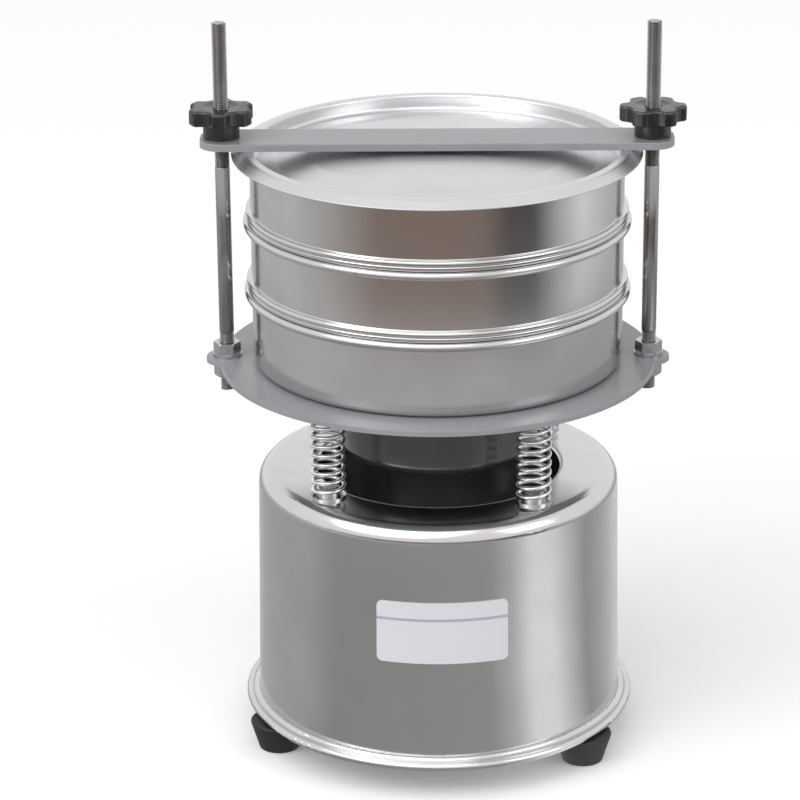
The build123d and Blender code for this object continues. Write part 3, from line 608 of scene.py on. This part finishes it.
def rounded(points, radii):
    """The line through the points, with an arc of its own radius at each corner between them.

    Long sides get two more points near their ends, so that they stay flat in what they mirror."""
    points = [Vector((radius, 0, height)) for radius, height in points]
    runs = [[points[0]]]
    for before, corner, after, radius in zip(points, points[1:], points[2:], radii):
        if radius == 0:
            runs.append([corner])
            continue
        back, onward = (before - corner).normalized(), (after - corner).normalized()
        half = back.angle(onward) / 2
        centre = corner + (back + onward).normalized() * radius / sin(half)
        first = (corner + back * radius / tan(half) - centre).normalized()
        last = (corner + onward * radius / tan(half) - centre).normalized()
        runs.append([centre + first.slerp(last, n / ARC_STEPS) * radius for n in range(ARC_STEPS + 1)])
    runs.append([points[-1]])
    line = runs[0]
    for run in runs[1:]:
        side = run[0] - line[-1]
        if side.length > LONG_SIDE:
            line += [line[-1] + side.normalized() * FLAT_END, run[0] - side.normalized() * FLAT_END]
        line += run
    return line


SPIN_STEPS = 192


def spun(name, outline, finish, node, body, place=(0, 0, 0)):
    """A round piece whose closed outline, in millimetres, is turned once round its axis."""
    piece = drawn_profile(name, [point * MM for point in outline])
    screwed(piece, 0, 1, SPIN_STEPS)
    edit()
    weld()
    leave_edit()
    set_down(piece, place)
    dress(piece, finish)
    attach(piece, body)
    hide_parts(node)


# %% [markdown]
# ## The sieve frames, the pan and the lid
# The sheet pieces of the stack are spun, so each is a closed outline turned once round the axis. A rim is
# rolled fully round. Above the skirt a frame has two rolled beads, one on the other, and where they rest on
# the rim below, the three rounds and the dark lines between them draw each joint of the stack. The lid's
# middle is slightly crowned, which spreads what it mirrors.

# %% Spin the stack
# The reaches are radii. The heights in a frame count from its seat on the rim below.
MOUTH = 100.1
SHEET = 0.8
WALL = MOUTH + SHEET
HEM = 0.3
SEAT_GAP = 0.1

RIM_REACH = 105.0
RIM_DEPTH = 4.6
RIM_ROUND = 2.25

BEAD_REACH = 103.5
BEAD_TOP = 5.85
BEAD_ROUND = 1.45
BEAD_SWELL = 0.1
BEAD_FILLET = 0.5
BEAD_JOIN = 2.8
LOWER_BEAD_ROUND = 1.2
INNER_BEAD_DROP = 1.6
NOTCH_HALF = 0.1
NOTCH_DEPTH = 0.8
NOTCH_LIP = 0.7
NOTCH_POINT = 0.02
SKIRT = 99.8
SKIRT_DEPTH = 8.0
SKIRT_FILLET = 0.2

PAN_BEND = 4.0

# The section of the lid's sheet: the radius, the depth below the flange and the rounding of each corner,
# along the upper side from the flange to the middle, and back along the underside to the flange's edge.
CROWN = 700.0
LID_UPPER = [(104.4, 0, 4.0), (99.0, 0, 1.4), (99.0, 8.2, 2.0), (85.8, 8.2, 6.0), (69.0, 4.2, 6.0),
             (35.0, 1.4, CROWN), (0, 1.4, 0)]
LID_UNDER = [(0, 2.2, 0), (35.0, 2.2, CROWN), (69.0, 5.0, 5.0), (85.8, 9.0, 6.8), (99.8, 9.0, 2.8),
             (99.8, 0.8, 0.6), (104.2, 0.8, 3.2), (110.3, 4.3, 0.2), (110.6, 3.6, 0.2)]


def rim(seat):
    """Corners and radii of a rolled rim, from the mouth over the top to the wall below."""
    return [((MOUTH, seat), RIM_ROUND), ((RIM_REACH, seat), RIM_ROUND),
            ((RIM_REACH, seat - RIM_DEPTH), RIM_ROUND), ((WALL, seat - RIM_DEPTH), HEM)]


def closed(corners):
    """Rounds a ring of corners, started and ended halfway along its first side."""
    places = [Vector(place) for place, radius in corners]
    start = (places[-1] + places[0]) / 2
    return rounded([start, *places, start], [radius for place, radius in corners])


def sieve_frame(node, body):
    low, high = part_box(node)
    seat = low[2] / MM + SKIRT_DEPTH
    bead_top, join, foot = seat + BEAD_TOP, seat + BEAD_JOIN, seat + SEAT_GAP
    skirt_low, skirt_inside = seat - SKIRT_DEPTH, SKIRT - SHEET
    bead_inside = BEAD_REACH - SHEET - BEAD_SWELL
    corners = rim(high[2] / MM) + [
        ((WALL, bead_top), BEAD_FILLET), ((BEAD_REACH, bead_top), BEAD_ROUND),
        ((BEAD_REACH, join + NOTCH_HALF), NOTCH_LIP), ((BEAD_REACH - NOTCH_DEPTH, join), NOTCH_POINT),
        ((BEAD_REACH, join - NOTCH_HALF), NOTCH_LIP), ((BEAD_REACH, foot), LOWER_BEAD_ROUND),
        ((SKIRT, foot), SKIRT_FILLET), ((SKIRT, skirt_low), HEM),
        ((skirt_inside, skirt_low), HEM), ((skirt_inside, seat + SHEET), HEM),
        ((bead_inside, seat + SHEET), 0), ((bead_inside, bead_top - INNER_BEAD_DROP), BEAD_FILLET),
        ((MOUTH, bead_top - SHEET), BEAD_FILLET)]
    spun(node + "_spun", closed(corners), sieve_steel, node, body)


def receiver_pan(node, body):
    low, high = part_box(node)
    floor_low = low[2] / MM
    corners = rim(high[2] / MM) + [
        ((WALL, floor_low), PAN_BEND), ((0, floor_low), 0), ((0, floor_low + SHEET), 0),
        ((MOUTH, floor_low + SHEET), PAN_BEND - SHEET)]
    spun(node + "_spun", closed(corners), sieve_steel, node, body)


def lid(node, body):
    low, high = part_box(node)
    top = high[2] / MM
    corners = [((radius, top - depth), rounding) for radius, depth, rounding in LID_UPPER + LID_UNDER]
    spun(node + "_spun", closed(corners), lid_steel, node, body)


sieve_frame("sieve_1_frame", "sieve_1")
sieve_frame("sieve_2_frame", "sieve_2")
receiver_pan("receiver_pan", "pan")
lid("lid", "lid")

# %% [markdown]
# ## The feet and the label
# The feet are tapered rubber mouldings, as wide at the top as the brim lets them be, each with the recess for
# its screw. The label is a bare plate with rounded corners, bent to the drum's leaning wall: a flat grid is
# pulled round at its corners and then laid round the axis.

# %% Mould the feet and bend the label
FOOT_TOP = 16.2
FOOT_BOTTOM = 11.2
FOOT_SHOULDER = 16.5
FOOT_COLLAR = 6.0
FOOT_EDGE = 1.0
FOOT_LIP = 0.3
FOOT_RECESS = 4.6
RECESS_DEPTH = 10.5
SCREW_HOLE = 2.05


def rubber_foot(node):
    low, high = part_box(node)
    top = high[2] / MM
    corners = [((FOOT_RECESS, 0), FOOT_LIP), ((FOOT_BOTTOM, 0), FOOT_EDGE),
               ((FOOT_TOP, FOOT_SHOULDER), FOOT_EDGE), ((FOOT_COLLAR, FOOT_SHOULDER), FOOT_LIP),
               ((FOOT_COLLAR, top), 0), ((SCREW_HOLE, top), 0), ((SCREW_HOLE, RECESS_DEPTH), 0),
               ((FOOT_RECESS, RECESS_DEPTH), 0)]
    place = ((low[0] + high[0]) / 2, (low[1] + high[1]) / 2, 0)
    spun(node + "_moulded", closed(corners), foot_rubber, node, "base", place)


for name in ("foot_left", "foot_right", "foot_rear"):
    rubber_foot(name)

LABEL_CORNER = 3.0
LABEL_ANGLE = radians(40.8)
LABEL_TURN = radians(1.2)
LABEL_THICKNESS = 0.5
LABEL_COLUMNS = 72
LABEL_ROWS = 36
# The drum's wall leans in by 2.2 mm on its 136 mm of height.
WALL_LEAN = 2.2 / 136.0


def label(node):
    low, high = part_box(node)
    radius, height, corner = -low[1], high[2] - low[2], LABEL_CORNER * MM
    width = radius * LABEL_ANGLE
    plate = start_piece(node + "_film", bpy.ops.mesh.primitive_grid_add, size=1,
                        x_subdivisions=LABEL_COLUMNS, y_subdivisions=LABEL_ROWS)
    for vertex in plate.data.vertices:
        along, up = vertex.co.x * width, vertex.co.y * height
        past_side, past_end = abs(along) - width / 2 + corner, abs(up) - height / 2 + corner
        if past_side > 0 and past_end > 0:
            side, end = past_side / corner, past_end / corner
            along += (along > 0 or -1) * (side * (1 - end ** 2 / 2) ** 0.5 - side) * corner
            up += (up > 0 or -1) * (end * (1 - side ** 2 / 2) ** 0.5 - end) * corner
        angle = along / radius + LABEL_TURN
        reach = radius - (up + height / 2) * WALL_LEAN
        vertex.co = (reach * sin(angle), -reach * cos(angle), low[2] + height / 2 + up)
    thick = plate.modifiers.new("thickness", "SOLIDIFY")
    thick.thickness = LABEL_THICKNESS * MM
    bpy.ops.object.modifier_apply(modifier=thick.name)
    dress(plate, label_film)
    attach(plate, "base")
    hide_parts(node)


label("label_plate")

# %% [markdown]
# ## The coil springs
# Each spring is 2.3 mm wire, wound in eleven turns between two seats, with its ends ground flat. The packed
# solid stays still when the platform bounces and is hidden, and wire of its own is wound in its place: a
# circle is set at the coil's radius and a Screw modifier winds it up. The ends are closed and cut flat on the
# seats.

# %% Wind the springs
WIRE = 2.3
WIRE_SIDES = 14
COIL_TURNS = 11
COIL_STEPS = 40


def wound_spring(node):
    low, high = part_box(node)
    outer = (high[0] - low[0]) / 2
    middle = Vector(((low[0] + high[0]) / 2, (low[1] + high[1]) / 2, 0))
    spring = start_piece(node + "_wire", bpy.ops.mesh.primitive_circle_add, vertices=WIRE_SIDES,
                         radius=WIRE / 2 * MM, fill_type="NOTHING",
                         location=(outer - WIRE / 2 * MM, 0, low[2]), rotation=(pi / 2, 0, 0))
    bpy.ops.object.transform_apply(location=True, rotation=True, scale=True)
    screwed(spring, (high[2] - low[2]) / COIL_TURNS, COIL_TURNS, COIL_STEPS)
    edit()
    bpy.ops.mesh.fill_holes(sides=0)
    bpy.ops.mesh.select_all(action="SELECT")
    bpy.ops.mesh.normals_make_consistent(inside=False)
    cut_flat(low[2], high[2])
    leave_edit()
    set_down(spring, middle)
    dress(spring, chrome)
    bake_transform(spring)
    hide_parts(node)


for corner in ("front_left", "front_right", "rear_left", "rear_right"):
    wound_spring("spring_" + corner)

# %% [markdown]
# ## The clamp rods
# The two clamp rods are 8 mm steel, plain in the middle, with an M8 thread of 1.25 mm pitch at each end:
# the lower one for the nuts on the platform and the upper one for the knob. One turn of a thread is a short
# zigzag between root and crest, and a Screw modifier winds it up. Each thread is cut to length and its end
# faces are drawn in, as the chamfer that starts a nut. The plain shank between is a cylinder with bevelled
# edges.

# %% Cut the threads and turn the shanks
THREAD_PITCH = 1.25
THREAD_ROOT = 3.38
THREAD_CREST = 3.98
CREST_START = 0.5
CREST_END = 0.8
THREAD_STEPS = 24
SPARE_TURNS = 2
END_DRAW = 0.86
LOWER_THREAD_END = 232.0
UPPER_THREAD_START = 326.0
SHANK_SIDES = 48
SHANK_BEVEL = 0.5


def thread(name, low, high):
    zigzag = [(THREAD_ROOT, 0), (THREAD_CREST, CREST_START), (THREAD_CREST, CREST_END),
              (THREAD_ROOT, THREAD_PITCH)]
    first = low / MM - SPARE_TURNS * THREAD_PITCH
    turns = round((high - low) / MM / THREAD_PITCH) + 2 * SPARE_TURNS
    length = drawn_profile(name, [Vector((radius, 0, first + rise)) * MM for radius, rise in zigzag])
    screwed(length, THREAD_PITCH * MM, turns, THREAD_STEPS)
    edit()
    weld()
    cut_flat(low, high)
    for end in (low, high):
        bpy.ops.mesh.select_all(action="DESELECT")
        leave_edit()
        for vertex in length.data.vertices:
            vertex.select = abs(vertex.co.z - end) < CLOSE
        bpy.ops.object.mode_set(mode="EDIT")
        bpy.ops.transform.resize(value=(END_DRAW, END_DRAW, 1), center_override=(0, 0, end))
    leave_edit()
    return length


def clamp_rod(node):
    low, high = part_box(node)
    shank_low, shank_high = LOWER_THREAD_END * MM, UPPER_THREAD_START * MM
    threads = [thread(node + "_lower", low[2], shank_low), thread(node + "_upper", shank_high, high[2])]
    rod = start_piece(node + "_bar", bpy.ops.mesh.primitive_cylinder_add, vertices=SHANK_SIDES,
                      radius=(high[0] - low[0]) / 2, depth=shank_high - shank_low,
                      location=(0, 0, (shank_low + shank_high) / 2))
    bevel = rod.modifiers.new("edge", "BEVEL")
    bevel.width = SHANK_BEVEL * MM
    bevel.segments = 2
    bevel.angle_limit = radians(60)
    bpy.ops.object.transform_apply(location=True, rotation=True, scale=True)
    bpy.ops.object.modifier_apply(modifier=bevel.name)
    for length in threads:
        length.select_set(True)
    bpy.ops.object.join()
    set_down(rod, ((low[0] + high[0]) / 2, (low[1] + high[1]) / 2, 0))
    dress(rod, rod_steel, smooth_below=25)
    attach(rod, "platform")
    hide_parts(node)


clamp_rod("left_rod")
clamp_rod("right_rod")
